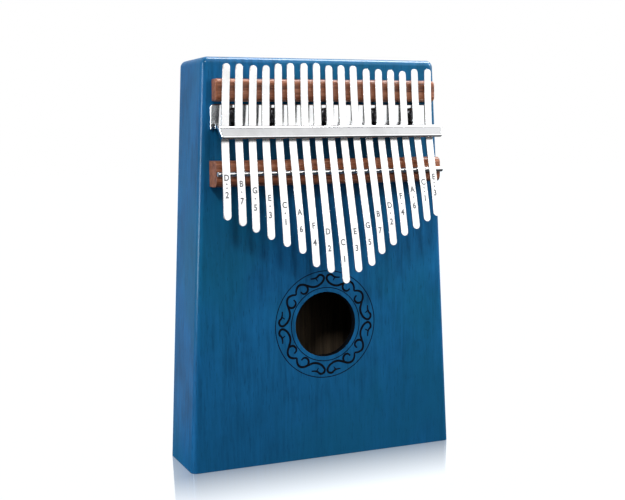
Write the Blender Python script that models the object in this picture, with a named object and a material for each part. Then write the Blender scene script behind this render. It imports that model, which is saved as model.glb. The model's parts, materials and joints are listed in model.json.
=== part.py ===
"""Box thumb piano: a hollow trapezoid sound box with seventeen steel tines held under a clamp bracket.

Frame: +Z runs up the instrument from its foot to the clamped end of the tines, the playing face looks
along -Y, and +X is to the player's right seen from the front. The origin is the middle of the foot face.
Heights above the soundboard are measured along -Y from the board's outer face.
"""

import math

import bmesh
import bpy
from mathutils import Matrix, Vector

MM = 0.001

# Sound box
BODY_HEIGHT = 185.0 * MM
FOOT_WIDTH = 131.6 * MM
HEAD_WIDTH = 114.6 * MM
BODY_DEPTH = 35.0 * MM
BOARD_THICKNESS = 3.6 * MM
WALL_THICKNESS = 7.0 * MM
HEAD_BLOCK_HEIGHT = 14.0 * MM
FOOT_BLOCK_HEIGHT = 8.0 * MM
HEAD_CORNER_RADIUS = 3.0 * MM
EDGE_FILLET = 2.8 * MM
GAP = 0.3 * MM
CUT_MARGIN = 2.0 * MM
JOIN_OVERLAP = 0.2 * MM

# Sound hole and the cross braces glued behind the board
HOLE_HEIGHT = 63.0 * MM
HOLE_RADIUS = 15.0 * MM
CLAMP_BRACE_SPAN = (152.5 * MM, 167.0 * MM)
SADDLE_BRACE_SPAN = (129.0 * MM, 139.0 * MM)
CLAMP_BRACE_DEPTH = 13.0 * MM
SADDLE_BRACE_DEPTH = 9.0 * MM

# Tines: one flat steel strip each, bent where it leaves the clamp
TINE_COUNT = 17
TINE_PITCH = 6.25 * MM
TINE_ROW_CENTRE = -0.6 * MM
TINE_WIDTH = 3.4 * MM
TINE_THICKNESS = 1.0 * MM
TIP_RADIUS = 1.6 * MM
CLAMP_STATION = 150.5 * MM
BEND_STATION = 146.0 * MM
CLAMPED_RUN = ((182.0 * MM, 7.5 * MM), (168.0 * MM, 7.8 * MM), (CLAMP_STATION, 8.9 * MM))
BEND_HEIGHT = 9.6 * MM
RISE_SLOPE = 0.235
TIP_RUN = 13.0 * MM
TIP_SLOPE = 0.17
REAR_ENDS = (181.5, 181.4, 180.8, 180.9, 181.7, 182.0, 182.1, 182.2, 181.3,
             181.4, 181.3, 180.1, 180.0, 179.8, 179.3, 180.3, 180.4)
TIP_ENDS = (114.6, 111.9, 108.9, 105.5, 102.2, 98.9, 92.8, 90.0, 85.0,
            89.5, 91.9, 96.8, 100.4, 104.4, 107.2, 110.4, 112.7)
LEANS_DEG = (3.1, 2.3, 2.8, 2.1, 1.0, 0.1, 0.5, 0.0, -0.5,
             -0.9, -1.5, -1.0, -1.1, -1.2, -1.5, -1.4, 0.0)

# Saddle: a wooden bar with a steel rod let into its crest
SADDLE_STATION = 134.0 * MM
SADDLE_HALF_SPAN = 5.7 * MM
SADDLE_HEIGHT = 9.9 * MM
SADDLE_ENDS = (-55.0 * MM, 55.0 * MM)
SADDLE_ROUNDS = (3.0 * MM, 2.6 * MM)
ROD_RADIUS = 1.2 * MM
ROD_ENDS = (-54.8 * MM, 55.8 * MM)
ROD_CHAMFER = 0.4 * MM
HINGE_STATION = 132.6 * MM

# Rear bar: the wooden rest under the clamped ends
REAR_BAR_SPAN = (165.4 * MM, 175.2 * MM)
REAR_BAR_HEIGHT = 6.75 * MM
REAR_BAR_ENDS = (-53.6 * MM, 54.2 * MM)
REAR_BAR_ROUND = 2.4 * MM

# Clamp bracket: base flange, slotted web and press bar in one casting
FLANGE_SPAN = (155.0 * MM, 164.2 * MM)
FLANGE_ENDS = (-54.6 * MM, 53.6 * MM)
FLANGE_THICKNESS = 1.6 * MM
FLANGE_CORNER = 1.2 * MM
FLANGE_EASE = 0.4 * MM
EAR_DROP = 2.5 * MM
EAR_WIDTH = 3.0 * MM
WEB_THICKNESS = 1.6 * MM
WEB_HALF_WIDTH = 53.4 * MM
WEB_TOP_HEIGHT = 12.0 * MM
WEB_LEAN = 3.2 * MM
SLOT_WIDTH = 4.7 * MM
SLOT_HEIGHTS = (7.4 * MM, 10.1 * MM)
BAR_SPAN = (149.0 * MM, 154.7 * MM)
BAR_INNER_HEIGHT = 10.0 * MM
BAR_OUTER_HEIGHTS = (14.9 * MM, 12.8 * MM)
BAR_HALF_LENGTHS = (53.4 * MM, 54.7 * MM)
BAR_INNER_ROUND = 0.5 * MM
BAR_OUTER_ROUNDS = (1.3 * MM, 1.2 * MM)
BAR_END_EASE = 1.0 * MM

# Flange screws: pan head, cross recess, plain shank
SCREW_PLACES = (-44.0 * MM, -25.0 * MM, 0.0, 25.0 * MM, 44.0 * MM)
SCREW_STATION = 159.4 * MM
SCREW_HEAD_RADIUS = 3.4 * MM
SCREW_HEAD_HEIGHT = 2.0 * MM
SCREW_SHANK_RADIUS = 1.4 * MM
SCREW_REACH = 12.0 * MM
SCREW_HOLE_RADIUS = SCREW_SHANK_RADIUS + GAP
SCREW_HOLE_DEPTH = SCREW_REACH + 1.0 * MM
SCREW_POINT = 1.5 * MM
RECESS_WIDTH = 0.9 * MM
RECESS_LENGTH = 3.4 * MM
RECESS_DEPTH = 1.1 * MM

FRONT_FACE = -BODY_DEPTH / 2
ARC_STEPS = 5

LACQUERED_BLUE = ("lacquered_blue_wood", (0.008, 0.075, 0.155), 0.32, 0.0)
BARE_SPRUCE = ("bare_inner_wood", (0.42, 0.27, 0.15), 0.75, 0.0)
REDDISH_WOOD = ("reddish_bar_wood", (0.26, 0.10, 0.05), 0.5, 0.0)
PLATED_CHROME = ("plated_chrome", (0.80, 0.81, 0.83), 0.12, 1.0)
POLISHED_STEEL = ("polished_steel", (0.86, 0.86, 0.86), 0.18, 1.0)
DARK_STEEL = ("dark_screw_steel", (0.10, 0.10, 0.11), 0.3, 1.0)


def clear_scene():
    """Remove every object that the start-up scene holds."""
    for existing in list(bpy.data.objects):
        bpy.data.objects.remove(existing, do_unlink=True)


def make_collection(name):
    """Make a collection under the scene's own."""
    collection = bpy.data.collections.new(name)
    bpy.context.scene.collection.children.link(collection)
    return collection


def make_material(finish):
    """Make a Principled material from a finish's name, colour, roughness and metallic value."""
    name, colour, roughness, metallic = finish
    material = bpy.data.materials.get(name) or bpy.data.materials.new(name)
    material.use_nodes = True
    shader = material.node_tree.nodes["Principled BSDF"]
    shader.inputs["Base Color"].default_value = (*colour, 1.0)
    shader.inputs["Roughness"].default_value = roughness
    shader.inputs["Metallic"].default_value = metallic
    material.diffuse_color = (*colour, 1.0)
    return material


def add_part(name, shape, finish, origin=Vector(), parent=None):
    """Turn a bmesh in world coordinates into a part whose object origin is at the given world point."""
    shape.normal_update()
    bmesh.ops.recalc_face_normals(shape, faces=shape.faces)
    bmesh.ops.translate(shape, verts=shape.verts, vec=-origin)
    mesh = bpy.data.meshes.new(name)
    shape.to_mesh(mesh)
    shape.free()
    mesh.materials.append(make_material(finish))
    part = bpy.data.objects.new(name, mesh)
    PARTS.objects.link(part)
    part.parent = parent or ASSEMBLY
    part.location = origin - part.parent.location
    return part


def add_cutter(name, shape):
    """Turn a closed bmesh into a hidden wire object that Booleans cut with."""
    bmesh.ops.recalc_face_normals(shape, faces=shape.faces)
    mesh = bpy.data.meshes.new(name)
    shape.to_mesh(mesh)
    shape.free()
    cutter = bpy.data.objects.new(name, mesh)
    cutter.display_type = "WIRE"
    cutter.hide_render = True
    CUTTERS.objects.link(cutter)
    return cutter


def cut(part, cutter, operation="DIFFERENCE"):
    """Add an exact Boolean modifier to a part."""
    modifier = part.modifiers.new(cutter.name, "BOOLEAN")
    modifier.operation = operation
    modifier.object = cutter
    modifier.solver = "EXACT"


def half_width(station):
    """Half of the sound box's width at a height above the foot."""
    return (FOOT_WIDTH + (HEAD_WIDTH - FOOT_WIDTH) * station / BODY_HEIGHT) / 2


def above_board(height):
    """The Y coordinate of a point at a height above the soundboard."""
    return FRONT_FACE - height


def block(low, high):
    """A box from its lowest to its highest corner."""
    shape = bmesh.new()
    bmesh.ops.create_cube(shape, size=1.0)
    size = Vector(high) - Vector(low)
    centre = (Vector(high) + Vector(low)) / 2
    bmesh.ops.scale(shape, verts=shape.verts, vec=size)
    bmesh.ops.translate(shape, verts=shape.verts, vec=centre)
    return shape


def tapered_slab(z_span, y_span, inset=0.0):
    """A slab that follows the box's slanted sides, drawn in from them by an inset."""
    shape = block((-1.0, y_span[0], z_span[0]), (1.0, y_span[1], z_span[1]))
    for vert in shape.verts:
        vert.co.x *= half_width(vert.co.z) - inset
    return shape


def cylinder(radius, depth, centre, axis, segments):
    """A closed cylinder about a centre, along X or Y."""
    turn = {"X": Matrix.Rotation(math.pi / 2, 4, "Y"), "Y": Matrix.Rotation(math.pi / 2, 4, "X")}[axis]
    shape = bmesh.new()
    bmesh.ops.create_cone(shape, cap_ends=True, segments=segments, radius1=radius, radius2=radius,
                          depth=depth, matrix=Matrix.Translation(centre) @ turn)
    return shape


def round_edges(shape, chosen, radius, segments):
    """Round the edges that a test picks out."""
    edges = [edge for edge in shape.edges if chosen(edge)]
    bmesh.ops.bevel(shape, geom=edges, offset=radius, offset_type="OFFSET", segments=segments,
                    profile=0.5, affect="EDGES", material=-1, clamp_overlap=True)


def on_plane(edge, axis, value):
    """Whether both ends of an edge have the same given coordinate."""
    return all(abs(vert.co[axis] - value) < 0.01 * MM for vert in edge.verts)


def rounded_outline(corners):
    """Points of a polygon whose corners, given as (a, b, radius), are drawn as arcs."""
    points = []
    count = len(corners)
    for index, (a, b, radius) in enumerate(corners):
        here = Vector((a, b))
        if radius == 0.0:
            points.append(here)
            continue
        back = (Vector(corners[index - 1][:2]) - here).normalized()
        ahead = (Vector(corners[(index + 1) % count][:2]) - here).normalized()
        half_angle = back.angle(ahead) / 2
        centre = here + (back + ahead).normalized() * (radius / math.sin(half_angle))
        start = here + back * (radius / math.tan(half_angle)) - centre
        sweep = start.angle_signed(here + ahead * (radius / math.tan(half_angle)) - centre)
        for step in range(ARC_STEPS + 1):
            turned = start.copy()
            turned.rotate(Matrix.Rotation(-sweep * step / ARC_STEPS, 2))
            points.append(centre + turned)
    return points


def extruded(outline, x_span):
    """Extrude an outline of (height above board, station) points along X."""
    shape = bmesh.new()
    verts = [shape.verts.new((x_span[0], above_board(height), station)) for height, station in outline]
    face = shape.faces.new(verts)
    grown = bmesh.ops.extrude_face_region(shape, geom=[face])["geom"]
    moved = [item for item in grown if isinstance(item, bmesh.types.BMVert)]
    bmesh.ops.translate(shape, verts=moved, vec=(x_span[1] - x_span[0], 0.0, 0.0))
    bmesh.ops.recalc_face_normals(shape, faces=shape.faces)
    return shape


def build_board(name, y_outer, y_inner):
    """A front or back board: rounded head corners and a fillet round its outer face except at the foot."""
    shape = tapered_slab((0.0, BODY_HEIGHT), sorted((y_outer, y_inner)))
    round_head(shape)
    round_edges(shape, lambda edge: on_plane(edge, 1, y_outer) and not on_plane(edge, 2, 0.0), EDGE_FILLET, 4)
    return add_part(name, shape, LACQUERED_BLUE)


def round_head(shape):
    """Round the head corners that run through the box from front to back."""
    round_edges(shape, lambda edge: on_plane(edge, 2, BODY_HEIGHT) and on_plane(edge, 0, edge.verts[0].co.x),
                HEAD_CORNER_RADIUS, 6)


def build_sound_box():
    """Boards, side walls, end blocks and the two braces behind the soundboard."""
    inner_front = FRONT_FACE + BOARD_THICKNESS
    wall_depths = (inner_front + GAP, -inner_front - GAP)
    front = build_board("front_board", FRONT_FACE, inner_front)
    build_board("back_board", -FRONT_FACE, -inner_front)

    hole_centre = Vector((0.0, FRONT_FACE, HOLE_HEIGHT))
    hole = cylinder(HOLE_RADIUS, 2 * (BOARD_THICKNESS + CUT_MARGIN), hole_centre, "Y", 48)
    cut(front, add_cutter("sound_hole_cutter", hole))

    head_span = (BODY_HEIGHT - HEAD_BLOCK_HEIGHT, BODY_HEIGHT)
    for name, span in (("head_block", head_span), ("foot_block", (0.0, FOOT_BLOCK_HEIGHT))):
        shape = tapered_slab(span, wall_depths)
        round_head(shape)
        add_part(name, shape, LACQUERED_BLUE)

    wall_span = (FOOT_BLOCK_HEIGHT + GAP, head_span[0] - GAP)
    for name, side in (("left_wall", -1), ("right_wall", 1)):
        shape = block((0.0, wall_depths[0], wall_span[0]), (1.0, wall_depths[1], wall_span[1]))
        for vert in shape.verts:
            vert.co.x = side * (half_width(vert.co.z) - (1.0 - vert.co.x) * WALL_THICKNESS)
        add_part(name, shape, LACQUERED_BLUE)

    braces = []
    for name, span, depth in (("clamp_brace", CLAMP_BRACE_SPAN, CLAMP_BRACE_DEPTH),
                              ("saddle_brace", SADDLE_BRACE_SPAN, SADDLE_BRACE_DEPTH)):
        shape = tapered_slab(span, (wall_depths[0], wall_depths[0] + depth), WALL_THICKNESS + GAP)
        braces.append(add_part(name, shape, BARE_SPRUCE))
    return front, braces[0]


def build_rear_bar():
    """The low wooden bar that the clamped ends of the tines rest on."""
    low, high = REAR_BAR_SPAN
    outline = rounded_outline(((GAP, low, 0.0), (REAR_BAR_HEIGHT, low, REAR_BAR_ROUND),
                               (REAR_BAR_HEIGHT, high, REAR_BAR_ROUND), (GAP, high, 0.0)))
    add_part("rear_bar", extruded(outline, REAR_BAR_ENDS), REDDISH_WOOD)


def rise_height(station):
    """Height of a tine's middle plane on its straight rise past the bend."""
    return BEND_HEIGHT + (BEND_STATION - station) * RISE_SLOPE


def build_saddle():
    """The wooden saddle bar and the steel rod in the groove along its crest."""
    rise_angle = math.atan(RISE_SLOPE)
    rod_offset = (TINE_THICKNESS / 2 + GAP + ROD_RADIUS) / math.cos(rise_angle)
    rod_height = rise_height(SADDLE_STATION) - rod_offset
    rod_centre = Vector((sum(ROD_ENDS) / 2, above_board(rod_height), SADDLE_STATION))
    low, high = SADDLE_STATION - SADDLE_HALF_SPAN, SADDLE_STATION + SADDLE_HALF_SPAN

    outline = rounded_outline(((GAP, low, 0.0), (SADDLE_HEIGHT, low, SADDLE_ROUNDS[0]),
                               (SADDLE_HEIGHT, high, SADDLE_ROUNDS[1]), (GAP, high, 0.0)))
    bar = add_part("saddle_bar", extruded(outline, SADDLE_ENDS), REDDISH_WOOD)
    groove = cylinder(ROD_RADIUS + GAP, FOOT_WIDTH, rod_centre, "X", 24)
    cut(bar, add_cutter("rod_groove_cutter", groove))

    rod = cylinder(ROD_RADIUS, ROD_ENDS[1] - ROD_ENDS[0], rod_centre, "X", 24)
    round_edges(rod, lambda edge: any(on_plane(edge, 0, end) for end in ROD_ENDS), ROD_CHAMFER, 2)
    add_part("saddle_rod", rod, PLATED_CHROME)


def flange_shape():
    """The plate on the board, with a short ear below each lower corner."""
    low, high = FLANGE_SPAN
    left, right = FLANGE_ENDS
    columns = (left, left + EAR_WIDTH, right - EAR_WIDTH, right)
    shape = bmesh.new()
    verts = bmesh.ops.create_grid(shape, x_segments=3, y_segments=1, size=1.0)["verts"]
    for vert in verts:
        column = round((vert.co.x + 1.0) * 1.5)
        drop = EAR_DROP if column in (0, 3) else 0.0
        vert.co = (columns[column], above_board(GAP), high if vert.co.y > 0 else low - drop)
    corners = [vert for vert in verts if len(vert.link_edges) == 2]
    bmesh.ops.bevel(shape, geom=corners, offset=FLANGE_CORNER, offset_type="OFFSET", segments=3,
                    profile=0.5, affect="VERTICES", material=-1, clamp_overlap=True)
    grown = bmesh.ops.extrude_face_region(shape, geom=shape.faces[:])["geom"]
    moved = [item for item in grown if isinstance(item, bmesh.types.BMVert)]
    bmesh.ops.translate(shape, verts=moved, vec=(0.0, -FLANGE_THICKNESS, 0.0))
    bmesh.ops.recalc_face_normals(shape, faces=shape.faces)
    top = above_board(GAP + FLANGE_THICKNESS)
    round_edges(shape, lambda edge: on_plane(edge, 1, top) and edge.calc_face_angle() > math.radians(45),
                FLANGE_EASE, 2)
    return shape


def press_bar_shape():
    """The bar across all the tines, shorter along its lower edge."""
    low, high = BAR_SPAN
    outline = rounded_outline((
        (BAR_INNER_HEIGHT, low, BAR_INNER_ROUND), (BAR_OUTER_HEIGHTS[0], low, BAR_OUTER_ROUNDS[0]),
        (BAR_OUTER_HEIGHTS[1], high, BAR_OUTER_ROUNDS[1]), (BAR_INNER_HEIGHT, high, BAR_INNER_ROUND)))
    shape = extruded(outline, (-1.0, 1.0))
    for vert in shape.verts:
        share = (vert.co.z - low) / (high - low)
        vert.co.x *= BAR_HALF_LENGTHS[0] + (BAR_HALF_LENGTHS[1] - BAR_HALF_LENGTHS[0]) * share
    round_edges(shape, lambda edge: all(abs(vert.co.x) > BAR_HALF_LENGTHS[0] - GAP for vert in edge.verts)
                and edge.verts[0].co.x * edge.verts[1].co.x > 0, BAR_END_EASE, 2)
    return shape


def build_bracket():
    """The clamp bracket: flange on the board, web between the tines and the press bar over them."""
    bracket = add_part("clamp_bracket", flange_shape(), PLATED_CHROME)
    web_base = GAP + JOIN_OVERLAP / 2
    web_low = FLANGE_SPAN[0] - JOIN_OVERLAP
    web_high = FLANGE_SPAN[0] + WEB_THICKNESS
    web_outline = [Vector(point) for point in (
        (web_base, web_low), (web_base, web_high),
        (WEB_TOP_HEIGHT, web_high - WEB_LEAN), (WEB_TOP_HEIGHT, web_low - WEB_LEAN))]
    web = extruded(web_outline, (-WEB_HALF_WIDTH, WEB_HALF_WIDTH))
    cut(bracket, add_cutter("web_joiner", web), "UNION")
    cut(bracket, add_cutter("press_bar_joiner", press_bar_shape()), "UNION")
    for number, place in enumerate(tine_places(), start=1):
        slot = block((place - SLOT_WIDTH / 2, above_board(SLOT_HEIGHTS[1]), BAR_SPAN[0] - CUT_MARGIN),
                     (place + SLOT_WIDTH / 2, above_board(SLOT_HEIGHTS[0]), web_high + CUT_MARGIN))
        cut(bracket, add_cutter(f"tine_slot_cutter_{number:02d}", slot))
    return bracket


def build_screws(drilled):
    """Five pan-head screws through the flange and the board into the clamp brace."""
    head_base = GAP + FLANGE_THICKNESS + GAP
    for number, place in enumerate(SCREW_PLACES, start=1):
        hole_centre = Vector((place, FRONT_FACE + SCREW_HOLE_DEPTH / 2 - CUT_MARGIN, SCREW_STATION))
        hole = cylinder(SCREW_HOLE_RADIUS, SCREW_HOLE_DEPTH + 2 * CUT_MARGIN, hole_centre, "Y", 16)
        cutter = add_cutter(f"screw_hole_cutter_{number}", hole)
        for part in drilled:
            cut(part, cutter)
        screw = add_part(f"flange_screw_{number}", screw_shape(place, head_base), DARK_STEEL)
        recess_centre = Vector((place, above_board(head_base + SCREW_HEAD_HEIGHT), SCREW_STATION))
        for arm, wide, tall in (("across", RECESS_LENGTH, RECESS_WIDTH), ("along", RECESS_WIDTH, RECESS_LENGTH)):
            half = Vector((wide / 2, RECESS_DEPTH, tall / 2))
            slot = block(recess_centre - half, recess_centre + half)
            cut(screw, add_cutter(f"recess_{arm}_cutter_{number}", slot))


def screw_shape(place, head_base):
    """A pan head and shank turned about the screw's own axis."""
    crown = 0.35 * SCREW_HEAD_HEIGHT
    profile = ((0.0, -SCREW_REACH), (SCREW_SHANK_RADIUS * 0.5, -SCREW_REACH),
               (SCREW_SHANK_RADIUS, -SCREW_REACH + SCREW_POINT), (SCREW_SHANK_RADIUS, head_base),
               (SCREW_HEAD_RADIUS, head_base), (SCREW_HEAD_RADIUS, head_base + crown),
               (SCREW_HEAD_RADIUS * 0.8, head_base + 0.85 * SCREW_HEAD_HEIGHT),
               (SCREW_HEAD_RADIUS * 0.4, head_base + SCREW_HEAD_HEIGHT), (0.0, head_base + SCREW_HEAD_HEIGHT))
    shape = bmesh.new()
    verts = [shape.verts.new((radius, above_board(height), 0.0)) for radius, height in profile]
    edges = [shape.edges.new(pair) for pair in zip(verts, verts[1:])]
    bmesh.ops.spin(shape, geom=verts + edges, cent=(0.0, 0.0, 0.0), axis=(0.0, 1.0, 0.0),
                   angle=2 * math.pi, steps=20, use_merge=True)
    bmesh.ops.remove_doubles(shape, verts=shape.verts, dist=0.01 * MM)
    bmesh.ops.translate(shape, verts=shape.verts, vec=(place, 0.0, SCREW_STATION))
    return shape


def tine_places():
    """X of each tine's middle at the clamp, left to right."""
    return [TINE_ROW_CENTRE + (index - (TINE_COUNT - 1) / 2) * TINE_PITCH for index in range(TINE_COUNT)]


def tine_x(place, lean, station):
    """X of a leaning tine's middle at a station."""
    return place + math.tan(math.radians(lean)) * (station - CLAMP_STATION)


def strip(line, place, lean, rounded_end):
    """A flat strip along a middle line of (height, station) points, leaning in plan, one end rounded."""
    outer, inner = [], []
    for index, (height, station) in enumerate(line):
        before = Vector(line[max(index - 1, 0)])
        after = Vector(line[min(index + 1, len(line) - 1)])
        direction = (after - before).normalized()
        normal = Vector((-direction.y, direction.x)) * (TINE_THICKNESS / 2)
        outer.append(Vector((height, station)) + normal)
        inner.append(Vector((height, station)) - normal)
    shape = extruded(outer + inner[::-1], (place - TINE_WIDTH / 2, place + TINE_WIDTH / 2))
    centre = Vector((0.0, above_board(line[rounded_end][0]), line[rounded_end][1]))
    reach = 0.6 * TINE_THICKNESS
    round_edges(shape, lambda edge: on_plane(edge, 0, edge.verts[0].co.x) and
                all((Vector((0.0, vert.co.y, vert.co.z)) - centre).length < reach for vert in edge.verts),
                TIP_RADIUS, ARC_STEPS)
    for vert in shape.verts:
        vert.co.x += tine_x(0.0, lean, vert.co.z)
    return shape


def along_rise(station, distance):
    """The (height, station) point of the rising run, moved a distance towards the tip."""
    scale = distance / math.hypot(1.0, RISE_SLOPE)
    return (rise_height(station) + RISE_SLOPE * scale, station - scale)


def build_tines():
    """Each tine as a clamped shank and a free blade that meet at the saddle's playing edge."""
    hinge_height = rise_height(HINGE_STATION)
    tines = zip(tine_places(), REAR_ENDS, TIP_ENDS, LEANS_DEG)
    for number, (place, rear, tip, lean) in enumerate(tines, start=1):
        clamp_point = Vector((place, above_board(CLAMPED_RUN[-1][1]), CLAMP_STATION))
        rear_height = CLAMPED_RUN[0][1]
        shank_line = [(rear_height, rear * MM)]
        shank_line += [(height, station) for station, height in CLAMPED_RUN[1:]]
        shank_line += [(BEND_HEIGHT, BEND_STATION), along_rise(HINGE_STATION, -GAP / 2)]
        shank_shape = strip(shank_line, place, lean, 0)
        shank = add_part(f"tine_{number:02d}_shank", shank_shape, POLISHED_STEEL, clamp_point)

        tip_station = tip * MM
        turn_station = tip_station + TIP_RUN
        tip_height = rise_height(turn_station) + TIP_RUN * TIP_SLOPE
        blade_line = [along_rise(HINGE_STATION, GAP / 2), (rise_height(turn_station), turn_station),
                      (tip_height, tip_station)]
        hinge_point = Vector((tine_x(place, lean, HINGE_STATION), above_board(hinge_height), HINGE_STATION))
        blade_shape = strip(blade_line, place, lean, -1)
        add_part(f"tine_{number:02d}_blade", blade_shape, POLISHED_STEEL, hinge_point, shank)


clear_scene()
PARTS = make_collection("box_thumb_piano")
CUTTERS = make_collection("box_thumb_piano_cutters")
ASSEMBLY = bpy.data.objects.new("box_thumb_piano_assembly", None)
PARTS.objects.link(ASSEMBLY)

front_board, clamp_brace = build_sound_box()
build_rear_bar()
build_saddle()
clamp_bracket = build_bracket()
build_screws((front_board, clamp_brace, clamp_bracket))
build_tines()
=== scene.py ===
"""Looks of the box thumb piano: stained box, burnt rosette, wooden bars, chrome bracket and steel tines."""

import json
import logging
import math
from dataclasses import dataclass, field
from enum import Enum
from typing import Iterable, Optional, Sequence, Union

import bmesh
import bpy
from mathutils import Matrix, Vector


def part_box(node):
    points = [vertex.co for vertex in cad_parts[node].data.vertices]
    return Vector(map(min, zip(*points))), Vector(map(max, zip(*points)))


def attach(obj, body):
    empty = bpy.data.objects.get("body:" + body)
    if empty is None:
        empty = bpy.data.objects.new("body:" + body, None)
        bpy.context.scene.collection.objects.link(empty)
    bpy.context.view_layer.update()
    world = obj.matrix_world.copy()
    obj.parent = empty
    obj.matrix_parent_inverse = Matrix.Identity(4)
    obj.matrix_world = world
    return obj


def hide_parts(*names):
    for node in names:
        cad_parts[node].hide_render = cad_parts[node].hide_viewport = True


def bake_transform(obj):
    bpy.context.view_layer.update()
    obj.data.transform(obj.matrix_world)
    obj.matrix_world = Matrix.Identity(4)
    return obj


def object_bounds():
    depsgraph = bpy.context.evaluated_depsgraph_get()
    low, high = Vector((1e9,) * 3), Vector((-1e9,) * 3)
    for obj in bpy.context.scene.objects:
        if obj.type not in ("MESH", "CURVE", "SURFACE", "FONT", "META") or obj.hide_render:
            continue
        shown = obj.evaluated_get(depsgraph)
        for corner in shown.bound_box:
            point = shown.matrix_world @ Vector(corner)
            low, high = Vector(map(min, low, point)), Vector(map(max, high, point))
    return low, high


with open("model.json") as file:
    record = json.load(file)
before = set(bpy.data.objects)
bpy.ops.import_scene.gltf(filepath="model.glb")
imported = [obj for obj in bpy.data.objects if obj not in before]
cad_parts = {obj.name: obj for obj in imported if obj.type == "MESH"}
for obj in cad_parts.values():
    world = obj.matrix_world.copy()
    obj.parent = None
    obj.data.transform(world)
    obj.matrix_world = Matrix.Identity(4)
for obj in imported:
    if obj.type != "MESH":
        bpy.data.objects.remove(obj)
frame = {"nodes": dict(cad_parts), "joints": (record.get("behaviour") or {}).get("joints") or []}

LOG = logging.getLogger("thumb_piano")
MM = 0.001
CLOSE = 0.02 * MM
CAD_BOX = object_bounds()
BOARD_LOW, BOARD_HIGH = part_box("front_board")
BOARD_FACE = BOARD_LOW.y

Colour = tuple[float, float, float]
Stops = Sequence[tuple[float, Colour]]
Point = tuple[float, float]
Number = Union[float, "Signal"]
Shape = bmesh.types.BMesh
Face = bmesh.types.BMFace
Edge = bmesh.types.BMEdge
Vert = bmesh.types.BMVert
Piece = bpy.types.Object
Material = bpy.types.Material


class Slot(Enum):
    """The record's material slots."""

    LACQUER = "lacquered_wood"
    INNER = "inner_wood"
    BAR = "bar_wood"
    CHROME = "chrome_plate"
    TINE = "tine_steel"
    SCREW = "screw_steel"


class Grain(Enum):
    """Stretch of the wood figure along each axis: the small number is the way the fibres run."""

    UPRIGHT = (1.0, 1.0, 0.045)
    ACROSS = (0.05, 1.0, 1.0)


# ---------------------------------------------------------------- shader expressions


class Signal:
    """A shader socket that takes part in Python arithmetic."""

    def __init__(self, graph: "Graph", socket: bpy.types.NodeSocket) -> None:
        """Wrap an output socket of a graph's node."""
        self.graph = graph
        self.socket = socket

    def _math(self, operation: str, first: Number, second: Number) -> "Signal":
        """Join two values with one Math node."""
        return self.graph.read("Math", 0, {"operation": operation}, {0: first, 1: second})

    def __add__(self, other: Number) -> "Signal":
        """Sum of two signals."""
        return self._math("ADD", self, other)

    def __sub__(self, other: Number) -> "Signal":
        """Difference of two signals."""
        return self._math("SUBTRACT", self, other)

    def __rsub__(self, other: Number) -> "Signal":
        """A number minus this signal."""
        return self._math("SUBTRACT", other, self)

    def __mul__(self, other: Number) -> "Signal":
        """Product of two signals."""
        return self._math("MULTIPLY", self, other)

    __radd__ = __add__
    __rmul__ = __mul__


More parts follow.
